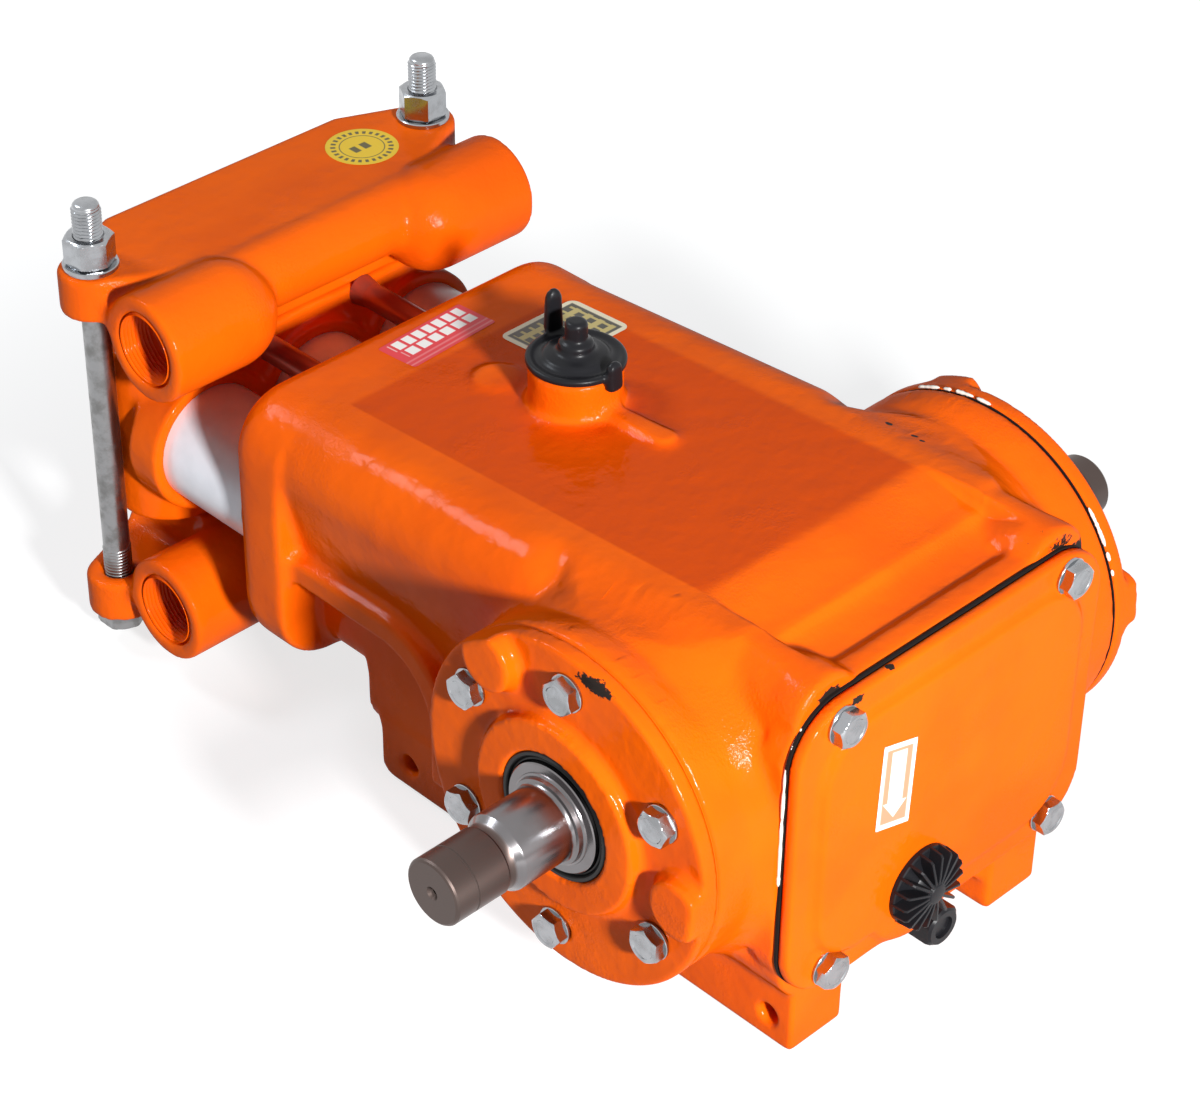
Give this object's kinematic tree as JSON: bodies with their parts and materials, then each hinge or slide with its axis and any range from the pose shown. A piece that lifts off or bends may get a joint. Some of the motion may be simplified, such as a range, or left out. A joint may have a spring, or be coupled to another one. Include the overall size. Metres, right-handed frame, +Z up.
{
  "type": "piston pump",
  "caption": "Horizontal crankshaft piston pump with an oil-filled crankcase, a shaft through both sides and a clamped fluid end with threaded ports.",
  "frame": {"origin": "on the mounting base, at the middle of the pump's footprint; the crankshaft axis is at y = -0.1527, z = 0.131", "axes": "+X along the crankshaft to the right-hand drive end, +Y towards the fluid end, +Z up"},
  "size_m": [0.472, 0.5506, 0.28],
  "materials": {
    "orange_enamel": "glossy enamel over a sand casting",
    "bare_steel": "ground and turned bare steel",
    "zinc_steel": "bright zinc plating",
    "black_plastic": "moulded, slightly shiny",
    "seal_rubber": "matt",
    "white_sleeve": "smooth, slightly glossy",
    "coppered_rod": "red-brown coat over steel",
    "label_film": "printed sticker film"
  },
  "bodies": {
    "pump": {"crankcase": "orange_enamel", "rear_cover": "orange_enamel", "rear_cover_gasket": "seal_rubber", "bearing_cover_left": "orange_enamel", "bearing_cover_right": "orange_enamel", "cover_shim_left": "zinc_steel", "cover_shim_right": "zinc_steel", "shaft_seal_left": "seal_rubber", "shaft_seal_right": "seal_rubber", "oil_filler_cap": "black_plastic", "oil_level_plug": "black_plastic", "drain_plug": "black_plastic", "cylinder_head": "orange_enamel", "discharge_manifold": "orange_enamel", "suction_manifold": "orange_enamel", "sleeve_left": "white_sleeve", "sleeve_middle": "white_sleeve", "sleeve_right": "white_sleeve", "spacer_upper_left": "coppered_rod", "spacer_upper_right": "coppered_rod", "spacer_lower_left": "coppered_rod", "spacer_lower_right": "coppered_rod", "tie_rod_left": "bare_steel", "tie_rod_right": "bare_steel", "tie_nut_left": "zinc_steel", "tie_nut_right": "zinc_steel", "tie_washer_left": "zinc_steel", "tie_washer_right": "zinc_steel"},
    "crankshaft": {"crankshaft": "bare_steel"}
  },
  "joints": [
    {"name": "crankshaft_turn", "type": "hinge", "parent": "pump", "child": "crankshaft", "pos_m": [0, -0.1527, 0.131], "axis": [1, 0, 0], "continuous": true}
  ]
}
